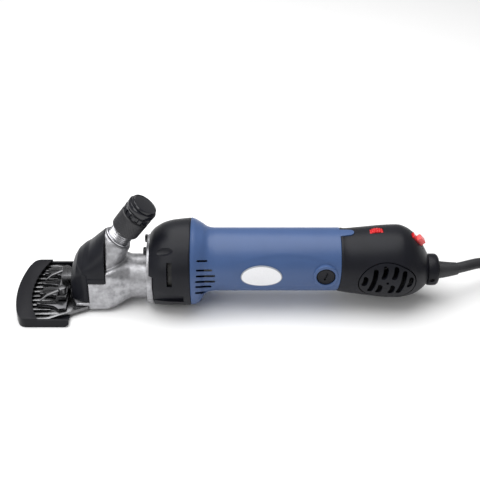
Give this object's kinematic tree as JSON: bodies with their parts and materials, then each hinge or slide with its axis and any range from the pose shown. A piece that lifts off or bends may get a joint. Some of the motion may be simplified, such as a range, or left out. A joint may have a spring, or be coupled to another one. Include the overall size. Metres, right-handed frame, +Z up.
{
  "type": "electric sheep shears",
  "caption": "Electric sheep shears with comb and cutter blades, crank-driven fork, tension knob, finned motor grip, cord with plug, and a push-on blade guard.",
  "frame": {"origin": "on the bench, under the middle of the tool's box with the cord left out", "axes": "-X towards the comb's tips, +X towards the cord, +Z up from the bench, +Y towards the tool's right side seen from the cord end"},
  "size_m": [0.5126, 0.1235, 0.0915],
  "materials": {
    "cast_aluminium": "as cast, fine grain",
    "black_plastic": "satin, moulded",
    "blue_plastic": "semi-gloss, moulded",
    "guard_plastic": "satin, moulded",
    "blade_steel": "ground",
    "machined_steel": "machined",
    "black_steel": "black oxide",
    "lamination_steel": "stacked sheets",
    "copper": "enamelled copper wire",
    "brass": "drawn",
    "carbon": "carbon block",
    "nylon": "moulded nylon",
    "red_plastic": "semi-gloss, moulded",
    "label_white": "printed film, blank",
    "circuit_board": "glass-fibre board",
    "cord_rubber": "satin rubber"
  },
  "bodies": {
    "tool_body": {"gearbox_head": "cast_aluminium", "head_cover": "black_plastic", "comb": "blade_steel", "comb_screw_left": "black_steel", "comb_screw_right": "black_steel", "fulcrum_post": "machined_steel", "tension_sleeve": "cast_aluminium", "tension_spring": "machined_steel", "tension_pin": "machined_steel", "flange_screw_upper_left": "black_steel", "flange_screw_upper_right": "black_steel", "flange_screw_lower_left": "black_steel", "flange_screw_lower_right": "black_steel", "gear_housing": "black_plastic", "bearing_plate": "cast_aluminium", "crank_bush_rear": "brass", "crank_bearing_front": "machined_steel", "armature_bearing_front": "machined_steel", "armature_bearing_rear": "machined_steel", "stator_core": "lamination_steel", "field_coil_upper": "copper", "field_coil_lower": "copper", "motor_housing": "blue_plastic", "brush_holder_left": "brass", "brush_holder_right": "brass", "carbon_brush_left": "carbon", "carbon_brush_right": "carbon", "brush_cap_left": "black_plastic", "brush_cap_right": "black_plastic", "label_plate": "label_white", "rear_cover": "black_plastic", "vent_grille_left": "black_plastic", "vent_grille_right": "black_plastic", "switch_body": "black_plastic", "speed_control_board": "circuit_board", "cord_gland": "black_plastic", "gland_screw": "black_steel", "strain_relief": "cord_rubber", "power_cord": "cord_rubber", "cord_coil": "cord_rubber", "plug": "black_plastic"},
    "rotor": {"armature_shaft": "machined_steel", "cooling_fan": "nylon", "armature_core": "lamination_steel", "armature_winding_front": "copper", "armature_winding_rear": "copper", "commutator": "copper"},
    "crank": {"crankshaft": "machined_steel", "driven_gear": "machined_steel", "crank_roller": "machined_steel"},
    "fork_and_cutter": {"fork": "machined_steel", "fork_foot_left": "machined_steel", "fork_foot_right": "machined_steel", "cutter": "blade_steel"},
    "plunger": {"tension_plunger": "machined_steel"},
    "knob": {"tension_knob": "black_plastic"},
    "rocker": {"switch_rocker": "red_plastic"},
    "dial": {"speed_dial": "red_plastic"},
    "guard": {"blade_guard": "guard_plastic"}
  },
  "joints": [
    {"name": "rotor_spin", "type": "hinge", "parent": "tool_body", "child": "rotor", "pos_m": [0.003, 0, 0.036], "axis": [1, 0, 0], "continuous": true},
    {"name": "crank_spin", "type": "hinge", "parent": "tool_body", "child": "crank", "pos_m": [0.003, 0, 0.0205], "axis": [1, 0, 0], "continuous": true},
    {"name": "fork_swing", "type": "hinge", "parent": "tool_body", "child": "fork_and_cutter", "pos_m": [-0.106, 0, 0.015], "axis": [0, 0, 1], "range_deg": [-9, 9]},
    {"name": "tension_travel", "type": "slide", "parent": "tool_body", "child": "plunger", "axis": [0.5976, 0, 0.8018], "range_m": [-0.00376, 0.00251], "deforming": ["tension_spring"]},
    {"name": "tension_turn", "type": "hinge", "parent": "plunger", "child": "knob", "pos_m": [-0.0773, 0, 0.0633], "axis": [0.5976, 0, 0.8018], "range_deg": [-1080, 720]},
    {"name": "switch_rock", "type": "hinge", "parent": "tool_body", "child": "rocker", "pos_m": [0.145, 0, 0.0532], "axis": [0, 1, 0], "range_deg": [0, 16]},
    {"name": "dial_turn", "type": "hinge", "parent": "tool_body", "child": "dial", "pos_m": [0.115, 0, 0.054], "axis": [0, 1, 0], "range_deg": [-135, 135]},
    {"name": "guard_slide", "type": "slide", "parent": "tool_body", "child": "guard", "axis": [-1, 0, 0], "range_m": [0, 0.06]}
  ],
  "couplings": [
    {"joint": "crank_spin", "follows": "rotor_spin", "ratio": -0.22222},
    {"joint": "tension_travel", "follows": "tension_turn", "m_per_rad": 0.00019894}
  ]
}
